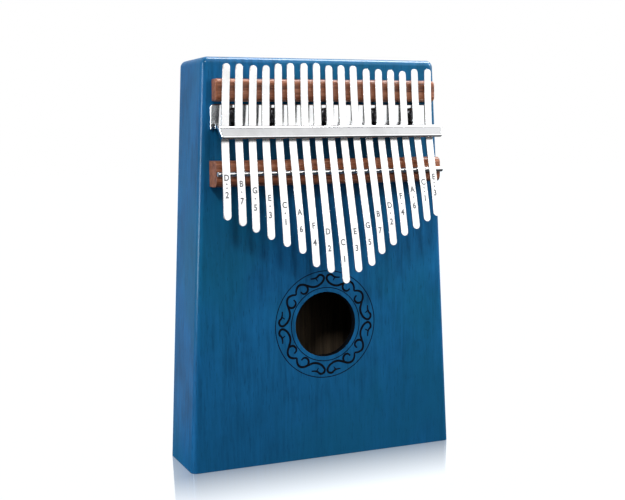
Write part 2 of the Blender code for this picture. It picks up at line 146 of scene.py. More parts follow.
class Graph:
    """A node tree that is written as Python expressions."""

    def __init__(self, tree: bpy.types.NodeTree) -> None:
        """Take charge of a node tree."""
        self.tree = tree

    def node(self, kind: str, settings: Optional[dict] = None,
             inputs: Optional[dict] = None) -> bpy.types.Node:
        """Add a node.

        Args:
            kind: the node's type, less its ShaderNode prefix.
            settings: attributes set first; "stops" holds a ramp's (position, colour) pairs.
            inputs: a value or a Signal for each socket, by name or index.

        Returns:
            The new node.
        """
        made = self.tree.nodes.new("ShaderNode" + kind)
        for key, value in (settings or {}).items():
            if key == "stops":
                self._set_stops(made.color_ramp, value)
            else:
                setattr(made, key, value)
        for key, value in (inputs or {}).items():
            if isinstance(value, Signal):
                self.tree.links.new(value.socket, made.inputs[key])
            else:
                made.inputs[key].default_value = value
        return made

    @staticmethod
    def _set_stops(ramp: bpy.types.ColorRamp, stops: Stops) -> None:
        """Give a ramp its stops in order.

        Args:
            ramp: the ramp to fill.
            stops: (position, colour) pairs.
        """
        while len(ramp.elements) < len(stops):
            ramp.elements.new(1.0)
        for element, (position, colour) in zip(ramp.elements, stops):
            element.position = position
            element.color = (*colour, 1.0)

    def read(self, kind: str, output: Union[str, int], settings: Optional[dict] = None,
             inputs: Optional[dict] = None) -> Signal:
        """Add a node and wrap one of its outputs."""
        return Signal(self, self.node(kind, settings, inputs).outputs[output])

    def vector(self, operation: str, *values: Union[Signal, Sequence[float]],
               output: str = "Vector") -> Signal:
        """Join vectors with one Vector Math node."""
        return self.read("VectorMath", output, {"operation": operation}, dict(enumerate(values)))

    def here(self) -> Signal:
        """The point's object coordinates."""
        return self.read("TexCoord", "Object")

    def split(self, value: Signal) -> tuple[Signal, ...]:
        """The three parts of a vector."""
        parts = self.node("SeparateXYZ", None, {0: value})
        return tuple(Signal(self, parts.outputs[name]) for name in "XYZ")

    def noise(self, stretch: Sequence[float], scale: float, detail: float = 3.0, rough: float = 0.55,
              bend: float = 0.0) -> Signal:
        """Fractal noise from 0 to 1 on stretched object coordinates.

        Args:
            stretch: factor on each axis.
            scale: features per metre.
            detail: octaves.
            rough: share of each next octave.
            bend: distortion of the pattern.

        Returns:
            The noise as a signal.
        """
        place = self.vector("MULTIPLY", self.here(), tuple(stretch))
        return self.read("TexNoise", "Fac", None, {
            "Vector": place, "Scale": scale, "Detail": detail, "Roughness": rough, "Distortion": bend})

    def remap(self, value: Signal, low: float, high: float, to_low: float = 0.0,
              to_high: float = 1.0) -> Signal:
        """Smoothly carry a value from one span to another, and hold it at the ends."""
        return self.read("MapRange", "Result", {"interpolation_type": "SMOOTHSTEP"}, {
            "Value": value, "From Min": low, "From Max": high, "To Min": to_low, "To Max": to_high})

    def ramp(self, value: Signal, stops: Stops) -> Signal:
        """Colour of a value along a row of stops."""
        return self.read("ValToRGB", "Color", {"stops": stops}, {0: value})

    def mix(self, share: Number, first: Union[Signal, Colour], second: Union[Signal, Colour]) -> Signal:
        """Blend two colours by a share."""
        first, second = ((*c, 1.0) if isinstance(c, tuple) else c for c in (first, second))
        return self.read("Mix", 2, {"data_type": "RGBA"}, {0: share, 6: first, 7: second})

    def surface(self, shader: Signal) -> None:
        """Make a shader the tree's result."""
        output = next(node for node in self.tree.nodes if node.type.startswith("OUTPUT"))
        self.tree.links.new(shader.socket, output.inputs["Surface"])


class Coating(Graph):
    """The node tree of one material, with its Principled shader at hand."""

    def __init__(self, name: str, constants: dict[str, float]) -> None:
        """Start a material.

        Args:
            name: the material's name.
            constants: Principled sockets that are the same all over the surface.
        """
        self.material = bpy.data.materials.new(name)
        self.material.use_nodes = True
        super().__init__(self.material.node_tree)
        self.shader = self.tree.nodes["Principled BSDF"]
        for socket, value in constants.items():
            self.shader.inputs[socket].default_value = value

    def relief(self, height: Signal, depth: float, strength: float) -> None:
        """Feed the shader's normal with a height.

        Args:
            height: the relief from 0 to 1.
            depth: what a height of 1 stands for, in metres.
            strength: share of the effect that is used.
        """
        self.feed("Normal", self.read("Bump", "Normal", None, {
            "Height": height, "Distance": depth, "Strength": strength}))

    def feed(self, socket: str, value: Signal) -> None:
        """Link a signal to one of the shader's sockets."""
        self.tree.links.new(value.socket, self.shader.inputs[socket])

    def paint(self, colour: Signal, roughness: Signal) -> None:
        """Feed the shader's colour and its roughness."""
        self.feed("Base Color", colour)
        self.feed("Roughness", roughness)


# ---------------------------------------------------------------- finishes


@dataclass(frozen=True)
class StainedLacquer:
    """Blue stain in open-pored wood under a thin satin lacquer, with painted shade that darkens the boards
    towards the foot.
    """

    name: str = "blue_stained_lacquer"
    deep: Colour = (0.0050, 0.070, 0.170)
    body: Colour = (0.0085, 0.118, 0.290)
    light: Colour = (0.0120, 0.158, 0.390)
    teal: Colour = (0.0065, 0.130, 0.240)
    pore: Colour = (0.0030, 0.038, 0.088)
    fibres: float = 900.0
    streaks: float = 420.0
    clouds: float = 55.0
    blotches: float = 17.0
    pores: float = 1900.0
    pore_share: float = 0.42
    relief: float = 0.04 * MM
    edge: float = 2.8 * MM
    head_gloss: float = 0.85
    side_gloss: float = 0.30
    painted_foot_shade: float = 0.55
    painted_shade_reach: float = 90.0 * MM

    def material(self) -> Material:
        """Build the finish.

        Returns:
            The new material.
        """
        graph = Coating(self.name, {"Specular IOR Level": 0.09, "Coat Roughness": 0.14})
        fibre = graph.noise((1.0, 1.0, 0.05), self.fibres, 4.0, 0.6)
        streak = graph.noise((1.0, 1.0, 0.13), self.streaks, 3.0, 0.6, 0.3)
        cloud = graph.noise((1.0, 1.0, 0.7), self.clouds, 4.0, 0.6)
        blotch = graph.noise((1.0, 1.0, 0.8), self.blotches, 3.0, 0.55)
        tone = 0.30 * fibre + 0.30 * streak + 0.40 * cloud
        stain = graph.ramp(tone, ((0.36, self.deep), (0.50, self.body), (0.64, self.light)))
        stain = graph.mix(graph.remap(blotch, 0.42, 0.66, 0.0, 0.6), stain, self.teal)
        pores = graph.remap(graph.noise((1.0, 1.0, 0.10), self.pores, 2.0, 0.5), 0.30, 0.40, 1.0, 0.0)
        stain = graph.mix(pores * self.pore_share, stain, self.pore)
        across, depth, station = graph.split(graph.vector("ABSOLUTE", graph.here()))
        # Painted shade: the boards' faces darken towards the foot, standing in for light that falls off lower
        # down.
        low = graph.remap(station, 0.0, self.painted_shade_reach, self.painted_foot_shade, 0.0)
        front = graph.remap(depth, 0.93 * -BOARD_FACE, -BOARD_FACE)
        graph.paint(graph.mix(low * front, stain, self.deep), 0.30 + 0.14 * fibre)
        graph.feed("Coat Weight", self.pooled(graph, across, depth, station))
        graph.relief(0.6 * fibre - 0.6 * pores, self.relief, 0.5)
        return graph.material

    def pooled(self, graph: Coating, across: Signal, depth: Signal, station: Signal) -> Signal:
        """Share of gloss where the lacquer pooled on the box's rounded edges.

        Args:
            graph: the material's nodes.
            across: distance from the middle plane between the sides.
            depth: distance from the middle plane between the boards.
            station: height above the foot.

        Returns:
            The share, highest along the head.
        """
        foot, head = CAD_BOX[1].x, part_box("head_block")
        taper = (foot - head[1].x) / head[0].z
        near = [graph.remap(value, rim - self.edge, rim - 0.6 * self.edge) for value, rim in (
            (across + taper * station, foot), (depth, -BOARD_FACE), (station, BOARD_HIGH.z))]
        return near[1] * (self.head_gloss * near[2] + self.side_gloss * near[0])


@dataclass(frozen=True)
class BareWood:
    """Planed wood with visible figure, oiled or left bare."""

    name: str
    grain: Grain
    dark: Colour
    body: Colour
    light: Colour
    roughness: float
    scale: float = 1.0
    fibres: float = 1500.0
    figures: float = 330.0
    pores: float = 2600.0
    pore_share: float = 0.55
    relief: float = 0.07 * MM

    def material(self) -> Material:
        """Build the finish.

        Returns:
            The new material.
        """
        graph = Coating(self.name, {"Specular IOR Level": 0.5})
        fibre = graph.noise(self.grain.value, self.fibres * self.scale, 4.0, 0.65)
        figure = graph.noise(self.grain.value, self.figures * self.scale, 3.0, 0.55, 1.2)
        pores = graph.noise(self.grain.value, self.pores * self.scale, 2.0)
        pores = graph.remap(pores, 0.30, 0.42, 1.0, 0.0)
        tone = 0.5 * fibre + 0.5 * figure
        shade = graph.ramp(tone, ((0.34, self.dark), (0.50, self.body), (0.66, self.light)))
        graph.paint(graph.mix(pores * self.pore_share, shade, self.dark),
                    self.roughness + 0.22 * (fibre - 0.5))
        graph.relief(0.6 * fibre - 0.7 * pores, self.relief, 0.7)
        return graph.material


@dataclass(frozen=True)
class Metal:
    """Plated or polished metal with fine scratches along one axis."""

    name: str
    colour: Colour
    roughness: float
    scratch: tuple[float, float, float]
    smear: float
    depth: float
    scratches: float = 5200.0
    clouds: float = 95.0
    dulling: float = 0.90

    def material(self) -> Material:
        """Build the finish.

        Returns:
            The new material.
        """
        graph = Coating(self.name, {"Metallic": 1.0})
        lines = graph.noise(self.scratch, self.scratches, 2.0, 0.6)
        cloud = graph.noise((1.0, 1.0, 1.0), self.clouds, 3.0, 0.55)
        dull = tuple(self.dulling * channel for channel in self.colour)
        graph.paint(graph.mix(graph.remap(cloud, 0.40, 0.70), self.colour, dull),
                    self.roughness + self.smear * (cloud - 0.5) + 0.06 * (lines - 0.5))
        graph.relief(lines, self.depth, 0.35)
        return graph.material


@dataclass(frozen=True)
class BurntLine:
    """Scorched, darkened wood of an engraved line."""

    name: str = "burnt_line"
    dark: Colour = (0.0022, 0.0030, 0.0045)
    pale: Colour = (0.0080, 0.012, 0.018)

    def material(self) -> Material:
        """Build the finish.

        Returns:
            The new material.
        """
        graph = Coating(self.name, {"Specular IOR Level": 0.05})
        soot = graph.noise((1.0, 1.0, 0.3), 1700.0, 4.0, 0.65)
        graph.paint(graph.mix(graph.remap(soot, 0.45, 0.75), self.dark, self.pale), 0.65 + 0.25 * soot)
        graph.relief(soot, 0.05 * MM, 0.6)
        return graph.material


@dataclass(frozen=True)
class StampedMark:
    """Matt grey floor of a mark stamped into bright steel."""

    name: str = "stamped_mark"
    colour: Colour = (0.22, 0.22, 0.23)
    dark: Colour = (0.09, 0.09, 0.10)

    def material(self) -> Material:
        """Build the finish.

        Returns:
            The new material.
        """
        graph = Coating(self.name, {"Specular IOR Level": 0.1})
        fleck = graph.noise((1.0, 1.0, 1.0), 2600.0, 3.0, 0.6)
        graph.paint(graph.mix(graph.remap(fleck, 0.35, 0.65), self.dark, self.colour), 0.55 + 0.2 * fleck)
        return graph.material


@dataclass(frozen=True)
class StudioFloor:
    """Glowing white tabletop that mirrors what stands on it, close by, and is dimmer out in front."""

    name: str = "pale_floor"
    front_glow: float = 0.05
    back_glow: float = 0.42
    mirror: float = 0.74
    reach: float = 47.0 * MM
    white: Colour = (1.0, 1.06, 1.12)

    def material(self) -> Material:
        """Build the finish.

        Returns:
            The new material.
        """
        graph = Coating(self.name, {})
        half = (CAD_BOX[1].x, CAD_BOX[1].y, 0.0)
        past = graph.vector("SUBTRACT", graph.vector("ABSOLUTE", graph.here()), half)
        away = graph.vector("LENGTH", graph.vector("MAXIMUM", past, (0.0, 0.0, 0.0)), output="Value")
        near = graph.read("MapRange", "Result", None, {
            "Value": away, "From Min": 0.0, "From Max": self.reach, "To Min": 1.0, "To Max": 0.0})
        depth = graph.split(graph.here())[1]
        seen = graph.read("LightPath", "Is Camera Ray")
        dim = graph.remap(depth, -0.02, 0.15, self.front_glow, self.back_glow)
        glow = graph.read("Emission", "Emission", None, {
            "Color": (*self.white, 1.0), "Strength": dim + seen * (1.0 - dim)})
        gloss = graph.read("BsdfGlossy", "BSDF", None, {
            "Color": (1.0, 1.0, 1.0, 1.0), "Roughness": 0.06})
        graph.surface(graph.read("MixShader", "Shader", None, {
            0: self.mirror * near * seen, 1: glow, 2: gloss}))
        return graph.material


class Finishes:
    """Each finish's material, made once and shared."""

    def __init__(self) -> None:
        """Choose the object's finishes."""
        self._made: dict[str, Material] = {}
        self.lacquer = StainedLacquer()
        self.bar_wood = BareWood("reddish_bar_wood", Grain.ACROSS, (0.075, 0.020, 0.009),
                                 (0.32, 0.105, 0.048), (0.52, 0.215, 0.115), 0.33)
        # The inner wood is darkened well below bare wood, as painted shade for the inside of the box.
        self.inner_wood = BareWood("shade_darkened_inner_wood", Grain.UPRIGHT, (0.020, 0.013, 0.007),
                                   (0.080, 0.056, 0.032), (0.150, 0.106, 0.062), 0.8, 0.4)
        self.chrome = Metal("plated_chrome", (0.86, 0.87, 0.88), 0.10, (0.03, 1.0, 1.0), 0.08, 0.01 * MM)
        self.rod = Metal("polished_rod_steel", (0.88, 0.88, 0.89), 0.07, (0.03, 1.0, 1.0), 0.04, 0.006 * MM)
        self.steel = Metal("polished_tine_steel", (0.93, 0.93, 0.93), 0.22, (1.0, 1.0, 0.02), 0.08,
                           0.012 * MM)
        self.screw = Metal("dark_screw_steel", (0.13, 0.13, 0.14), 0.24, (1.0, 1.0, 1.0), 0.12, 0.02 * MM)
        self.burnt = BurntLine()
        self.mark = StampedMark()
        self.floor = StudioFloor()

    def of(self, finish: object) -> Material:
        """The material of a finish.

        Args:
            finish: one of this class's finishes.

        Returns:
            Its material, made the first time it is asked for.
        """
        if finish.name not in self._made:
            self._made[finish.name] = finish.material()
        return self._made[finish.name]


FINISHES = Finishes()


# ---------------------------------------------------------------- mesh work


def forward(height: float) -> float:
    """Y of a point at a height above the soundboard."""
    return BOARD_FACE - height


def is_sharp(edge: Edge, degrees: float = 40.0) -> bool:
    """Whether two faces meet at an edge with a real corner."""
    return len(edge.link_faces) == 2 and edge.calc_face_angle() > math.radians(degrees)


def lies_at(part: Union[Edge, Face], axis: int, value: float) -> bool:
    """Whether all of an edge's or a face's points share a coordinate."""
    return all(abs(vert.co[axis] - value) < CLOSE for vert in part.verts)


def soften(shape: Shape, parts: Iterable[Union[Edge, Vert]], width: float, segments: int = 3,
           affect: str = "EDGES") -> None:
    """Round edges off, or the corners of a flat outline where affect is VERTICES.

    Args:
        shape: the mesh.
        parts: its edges or corners to round.
        width: the rounding's radius.
        segments: faces across the rounding.
        affect: EDGES or VERTICES.
    """
    bmesh.ops.bevel(shape, geom=list(parts), offset=width, offset_type="OFFSET", segments=segments,
                    profile=0.5, affect=affect, material=-1, clamp_overlap=True)


def shell(name: str, shape: Shape, finishes: Sequence[object]) -> Piece:
    """Put a bmesh into the scene as an object and free it.

    Args:
        name: the object's name.
        shape: its mesh.
        finishes: one finish for each material index.

    Returns:
        The new object.
    """
    mesh = bpy.data.meshes.new(name)
    shape.to_mesh(mesh)
    shape.free()
    for finish in finishes:
        mesh.materials.append(FINISHES.of(finish))
    made = bpy.data.objects.new(name, mesh)
    bpy.context.scene.collection.objects.link(made)
    return made


def as_mesh(name: str, curve: bpy.types.Curve) -> bpy.types.Mesh:
    """Turn a curve or a text into a mesh and remove the curve.

    Args:
        name: name of the passing object.
        curve: the curve or text.

    Returns:
        Its mesh, in the curve's own frame.
    """
    holder = bpy.data.objects.new(name, curve)
    bpy.context.scene.collection.objects.link(holder)
    bpy.context.view_layer.update()
    mesh = bpy.data.meshes.new_from_object(holder.evaluated_get(bpy.context.evaluated_depsgraph_get()))
    bpy.data.objects.remove(holder)
    bpy.data.curves.remove(curve)
    return mesh


def merge_in(shape: Shape, mesh: bpy.types.Mesh, reach: float = 0.002 * MM) -> None:
    """Add a mesh to a bmesh, join its doubles and remove it.

    Args:
        shape: the bmesh that takes it.
        mesh: the mesh.
        reach: distance under which two points are one.
    """
    shape.from_mesh(mesh)
    bmesh.ops.remove_doubles(shape, verts=shape.verts, dist=reach)
    bpy.data.meshes.remove(mesh)


def push(shape: Shape, faces: Sequence[Face], way: Sequence[float]) -> list[Face]:
    """Extrude flat faces into a solid and turn its faces out.

    Args:
        shape: the mesh that holds the faces.
        faces: the faces to push.
        way: how far they go.

    Returns:
        The faces at the far end.
    """
    grown = bmesh.ops.extrude_face_region(shape, geom=list(faces))["geom"]
    bmesh.ops.translate(shape, verts=[g for g in grown if isinstance(g, Vert)], vec=way)
    bmesh.ops.recalc_face_normals(shape, faces=shape.faces)
    return [g for g in grown if isinstance(g, Face)]


def prism(corners: Sequence[tuple[float, float, float]], ends: Point, steps: int = 6) -> Shape:
    """A bar along X with one outline.

    Args:
        corners: (height above the board, station, corner radius) of the outline.
        ends: the bar's lowest and highest X.
        steps: segments of each rounded corner.

    Returns:
        The closed bar.
    """
    shape = bmesh.new()
    verts = [shape.verts.new((ends[0], forward(height), station)) for height, station, _ in corners]
    shape.faces.new(verts)
    for vert, (_, _, radius) in zip(verts, corners):
        if radius > 0.0:
            soften(shape, [vert], radius, steps, "VERTICES")
    push(shape, shape.faces[:], (ends[1] - ends[0], 0.0, 0.0))
    return shape


def lay_piece(name: str, shape: Shape, finishes: Sequence[object], body: str,
              stands_for: Sequence[str] = (), smooth: float = 35.0) -> Piece:
    """Turn a bmesh into a piece that rides on a body.

    Args:
        name: the piece's name.
        shape: its closed mesh, in place; it is freed.
        finishes: one finish for each material index.
        body: the body it moves with; empty for a piece that is left unattached.
        stands_for: CAD nodes that it replaces.
        smooth: angle in degrees above which an edge stays sharp.

    Returns:
        The new object.
    """
    piece = shell(name, shape, finishes)
    piece.data.shade_smooth()
    piece.data.set_sharp_from_angle(angle=math.radians(smooth))
    even = piece.modifiers.new("even_normals", "WEIGHTED_NORMAL")
    even.keep_sharp = True
    if body:
        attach(piece, body)
    if stands_for:
        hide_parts(*stands_for)
    return piece


# ---------------------------------------------------------------- sub-assemblies


@dataclass
class SoundBox:
    """The hollow trapezoid box: soundboard with its hole, side frame and back panel."""

    head_radius: float = 3.0 * MM
    fillet: float = 2.8 * MM
    hole_rim: float = 0.35 * MM
    hole_centre: Vector = field(default_factory=lambda: Vector((0.0, BOARD_FACE, 63.0 * MM)))
    hole_radius: float = 15.0 * MM
    hole_segments: int = 96

    def half_width(self, station: float) -> float:
        """Half of the box's width at a height above its foot.

        Args:
            station: the height.

        Returns:
            The half width.
        """
        foot = BOARD_HIGH.x
        head_low, head_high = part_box("head_block")
        return foot + (head_high.x - foot) * station / head_low.z

    def outline(self, shape: Shape, depth: float, span: Point, inset: float, radius: float) -> list[Edge]:
        """Draw the trapezoid as one flat face.

        Args:
            shape: the mesh to draw in.
            depth: Y of the face.
            span: its lowest and highest station.
            inset: how far its sides are drawn in.
            radius: radius of its two corners at the head.

        Returns:
            The face's edges.
        """
        corners = bmesh.ops.create_grid(shape, x_segments=1, y_segments=1, size=1.0)["verts"]
        head = [vert for vert in corners if vert.co.y > 0]
        for vert in corners:
            station = span[1] if vert in head else span[0]
            side = math.copysign(1.0, vert.co.x)
            vert.co = Vector((side * (self.half_width(station) - inset), depth, station))
        foot = next(vert for vert in corners if vert not in head)
        for vert in head:
            if radius > 0.0:
                soften(shape, [vert], radius, 10, "VERTICES")
        return list(foot.link_faces[0].edges)

    def slab(self, y_outer: float, y_inner: float) -> Shape:
        """A full board with its outer edge filleted except along the foot.

        Args:
            y_outer: Y of its outer face.
            y_inner: Y of its inner face.

        Returns:
            The closed board.
        """
        shape = bmesh.new()
        self.outline(shape, y_outer, (BOARD_LOW.z, BOARD_HIGH.z), 0.0, self.head_radius)
        push(shape, shape.faces[:], (0.0, y_inner - y_outer, 0.0))
        outer = [e for e in shape.edges if lies_at(e, 1, y_outer) and not lies_at(e, 2, BOARD_LOW.z)]
        soften(shape, outer, self.fillet, 8)
        return shape

    def pierce(self, shape: Shape, y_outer: float, y_inner: float) -> None:
        """Cut the round sound hole through a board.

        Args:
            shape: the board.
            y_outer: Y of its outer face.
            y_inner: Y of its inner face.
        """
        turn = Matrix.Rotation(math.pi / 2, 4, "X")
        rings = []
        for depth in (y_outer, y_inner):
            flat = max((f for f in shape.faces if lies_at(f, 1, depth)), key=lambda f: f.calc_area())
            rim = list(flat.edges)
            bmesh.ops.delete(shape, geom=[flat], context="FACES_ONLY")
            centre = Vector((self.hole_centre.x, depth, self.hole_centre.z))
            verts = bmesh.ops.create_circle(shape, segments=self.hole_segments, radius=self.hole_radius,
                                            matrix=Matrix.Translation(centre) @ turn)["verts"]
            ring = list({edge for vert in verts for edge in vert.link_edges})
            bmesh.ops.triangle_fill(shape, edges=rim + ring, use_beauty=True, normal=(0.0, -1.0, 0.0))
            rings.append(ring)
        wall = bmesh.ops.bridge_loops(shape, edges=rings[0] + rings[1])["faces"]
        for face in wall:
            face.material_index = 2
        bmesh.ops.recalc_face_normals(shape, faces=shape.faces)
        soften(shape, [e for e in rings[0] if e.is_valid], self.hole_rim, 3)

    def build(self) -> None:
        """Make the soundboard, side frame and back panel."""
        back_low, back_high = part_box("back_board")
        woods = (FINISHES.lacquer, FINISHES.inner_wood)
        board = self.slab(BOARD_LOW.y, BOARD_HIGH.y)
        self.pierce(board, BOARD_LOW.y, BOARD_HIGH.y)
        self.leave_bare(board, BOARD_HIGH.y)
        lay_piece("soundboard", board, (*woods, FINISHES.burnt), "root", ("front_board",))
        back = self.slab(back_high.y, back_low.y)
        self.leave_bare(back, back_low.y)
        lay_piece("back_panel", back, woods, "root", ("back_board",))
        lay_piece("side_frame", self.side_frame(BOARD_HIGH.y, back_low.y), woods, "root",
                  ("left_wall", "right_wall", "head_block", "foot_block"))

    def leave_bare(self, shape: Shape, depth: float) -> None:
        """Leave the faces at a depth without lacquer, in the inner wood that is darkened as painted shade.

        Args:
            shape: the board.
            depth: Y of the faces.
        """
        for face in shape.faces:
            if lies_at(face, 1, depth):
                face.material_index = 1

    def side_frame(self, y_front: float, y_back: float) -> Shape:
        """The ring of walls and end blocks between the two boards.

        Args:
            y_front: Y of its front.
            y_back: Y of its back.

        Returns:
            The closed ring.
        """
        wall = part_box("left_wall")
        inner_span = (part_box("foot_block")[1].z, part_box("head_block")[0].z)
        thickness = self.half_width(wall[1].z) + wall[1].x
        shape = bmesh.new()
        edges = self.outline(shape, y_front, (BOARD_LOW.z, BOARD_HIGH.z), 0.0, self.head_radius)
        edges += self.outline(shape, y_front, inner_span, thickness, 0.0)
        bmesh.ops.delete(shape, geom=shape.faces[:], context="FACES_ONLY")
        bmesh.ops.triangle_fill(shape, edges=edges, use_beauty=True, normal=(0.0, -1.0, 0.0))
        push(shape, shape.faces[:], (0.0, y_back - y_front, 0.0))
        # Inner faces take the inner wood, which is darkened as painted shade.
        middle = Vector((0.0, (y_front + y_back) / 2, sum(inner_span) / 2))
        for face in shape.faces:
            if abs(face.normal.y) < 0.5 and face.normal.dot(middle - face.calc_center_median()) > 0.0:
                face.material_index = 1
        return shape

    def dress(self) -> None:
        """Give the braces behind the board the inner wood, bare wood darkened as painted shade."""
        for node in ("clamp_brace", "saddle_brace"):
            finishes = frame["nodes"][node].data.materials
            finishes.clear()
            finishes.append(FINISHES.of(FINISHES.inner_wood))


@dataclass
class Rosette:
    """Two fine rings and eight mirrored scrolls burnt into the board round the sound hole."""

    centre: Vector
    inner_ring: float = 17.2 * MM
    outer_ring: float = 25.0 * MM
    ring_width: float = 0.40 * MM
    line_width: float = 1.08 * MM
    proud: float = 0.02 * MM
    vine: Sequence[Point] = ((-14.7, 14.7), (-14.5, 17.0), (-13.4, 18.7), (-11.4, 19.2), (-8.9, 18.5),
                             (-5.9, 17.8), (-3.1, 18.6), (-1.2, 20.3), (-0.7, 21.9), (-1.6, 23.0),
                             (-3.1, 23.1), (-4.2, 22.2), (-5.6, 21.7), (-7.4, 21.6))
    curl: Sequence[Point] = ((-9.3, 18.5), (-8.8, 17.0), (-9.4, 15.5), (-11.0, 14.9), (-12.5, 15.9))
    barb: Sequence[Point] = ((-4.9, 21.8), (-4.3, 21.0), (-3.9, 20.3))

    def build(self) -> None:
        """Make the scrolls and the rings."""
        octant = bmesh.new()
        for line, taper in ((self.vine, (0.75, 0.55)), (self.curl, (0.9, 0.7)), (self.barb, (0.9, 0.35))):
            self.stroke(octant, line, taper)
        shape = bmesh.new()
        for quarter in range(4):
            for mirrored in (False, True):
                self.add_copy(shape, octant, quarter, mirrored)
        octant.free()
        bmesh.ops.recalc_face_normals(shape, faces=shape.faces)
        lay_piece("rosette_scrolls", shape, (FINISHES.burnt,), "root")
        rings = (("rosette_inner_ring", self.inner_ring), ("rosette_outer_ring", self.outer_ring))
        for name, radius in rings:
            lay_piece(name, self.ring(radius), (FINISHES.burnt,), "root")

    def stroke(self, shape: Shape, line: Sequence[Point], taper: Point) -> None:
        """Draw one scroll line as a flattened round brush stroke.

        Args:
            shape: the mesh that takes the stroke.
            line: (across, up) points in millimetres from the hole's centre.
            taper: share of the full width at the stroke's two ends.
        """
        curve = bpy.data.curves.new("stroke", "CURVE")
        curve.dimensions = "3D"
        curve.bevel_depth = self.line_width / 2
        curve.bevel_resolution = 2
        curve.use_fill_caps = True
        curve.resolution_u = 6
        spline = curve.splines.new("BEZIER")
        last = len(line) - 1
        spline.bezier_points.add(last)
        for index, (point, (across, up)) in enumerate(zip(spline.bezier_points, line)):
            point.co = (across * MM, 0.0, up * MM)
            point.handle_left_type = point.handle_right_type = "AUTO"
            point.radius = min(1.0, taper[0] + 0.2 * index, taper[1] + 0.15 * (last - index))
        merge_in(shape, as_mesh("stroke", curve))

    def add_copy(self, shape: Shape, octant: Shape, quarter: int, mirrored: bool) -> None:
        """Put one turned, and maybe mirrored, octant flat on the board.

        Args:
            shape: the mesh that takes the copy.
            octant: the strokes of one octant.
            quarter: number of quarter turns.
            mirrored: whether it is the octant's mirror image.
        """
        mesh = bpy.data.meshes.new("octant")
        octant.to_mesh(mesh)
        flatten = Matrix.Diagonal((1.0, self.proud / (self.line_width / 2), 1.0, 1.0))
        swap = Matrix(((0, 0, -1, 0), (0, 1, 0, 0), (-1, 0, 0, 0), (0, 0, 0, 1))) if mirrored else Matrix()
        turn = Matrix.Rotation(quarter * math.pi / 2, 4, "Y")
        mesh.transform(Matrix.Translation(self.centre) @ turn @ swap @ flatten)
        shape.from_mesh(mesh)
        bpy.data.meshes.remove(mesh)

    def ring(self, radius: float) -> Shape:
        """A hair-thin ring lying on the board.

        Args:
            radius: radius of its middle line.

        Returns:
            The closed ring.
        """
        shape = bmesh.new()
        turn = Matrix.Rotation(math.pi / 2, 4, "X")
        place = Matrix.Translation(self.centre + Vector((0.0, -self.proud, 0.0))) @ turn
        edges = []
        for offset in (-self.ring_width / 2, self.ring_width / 2):
            verts = bmesh.ops.create_circle(shape, segments=128, radius=radius + offset,
                                            matrix=place)["verts"]
            edges += list({edge for vert in verts for edge in vert.link_edges})
        faces = bmesh.ops.bridge_loops(shape, edges=edges)["faces"]
        push(shape, faces, (0.0, 2 * self.proud, 0.0))
        return shape


@dataclass
class WoodenBars:
    """The rear bar under the clamped ends and the saddle bar with its steel rod."""

    edge: float = 1.2 * MM
    rear_round: float = 2.2 * MM
    saddle_rounds: Point = (3.0 * MM, 2.6 * MM)
    chamfer: float = 0.45 * MM

    def build(self) -> None:
        """Make both bars and the rod."""
        low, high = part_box("rear_bar")
        top = BOARD_FACE - low.y
        rear = prism(((0.0, low.z, 0.0), (top, low.z, self.rear_round), (top, high.z, self.rear_round),
                      (0.0, high.z, 0.0)), (low.x, high.x))
        self.finish_ends(rear, low.x, high.x)
        lay_piece("rear_bar_wood", rear, (FINISHES.bar_wood,), "root", ("rear_bar",))

        low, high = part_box("saddle_bar")
        rod_low, rod_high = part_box("saddle_rod")
        radius = (rod_high.z - rod_low.z) / 2
        middle = (rod_high.z + rod_low.z) / 2
        groove_floor = BOARD_FACE - rod_high.y
        top = BOARD_FACE - low.y
        saddle = prism((
            (0.0, low.z, 0.0), (top, low.z, self.saddle_rounds[0]), (top, middle - radius, 0.0),
            (groove_floor, middle - radius, 0.9 * radius), (groove_floor, middle + radius, 0.9 * radius),
            (top, middle + radius, 0.0), (top, high.z, self.saddle_rounds[1]), (0.0, high.z, 0.0)),
            (low.x, high.x))
        self.finish_ends(saddle, low.x, high.x)
        lay_piece("saddle_bar_wood", saddle, (FINISHES.bar_wood,), "root", ("saddle_bar",))
        self.build_rod(rod_low, rod_high, radius)

    def finish_ends(self, shape: Shape, low: float, high: float) -> None:
        """Break the edges round a bar's two ends."""
        soften(shape, [e for e in shape.edges if lies_at(e, 0, low) or lies_at(e, 0, high)], self.edge, 2)

    def build_rod(self, low: Vector, high: Vector, radius: float) -> None:
        """The polished rod in the saddle's groove.

        Args:
            low: the rod's lowest corner.
            high: its highest corner.
            radius: its radius.
        """
        shape = bmesh.new()
        centre = (low + high) / 2
        turn = Matrix.Translation(centre) @ Matrix.Rotation(math.pi / 2, 4, "Y")
        bmesh.ops.create_cone(shape, cap_ends=True, segments=48, radius1=radius, radius2=radius,
                              depth=high.x - low.x, matrix=turn)
        soften(shape, filter(is_sharp, shape.edges), self.chamfer, 2)
        lay_piece("saddle_rod_steel", shape, (FINISHES.rod,), "root", ("saddle_rod",))


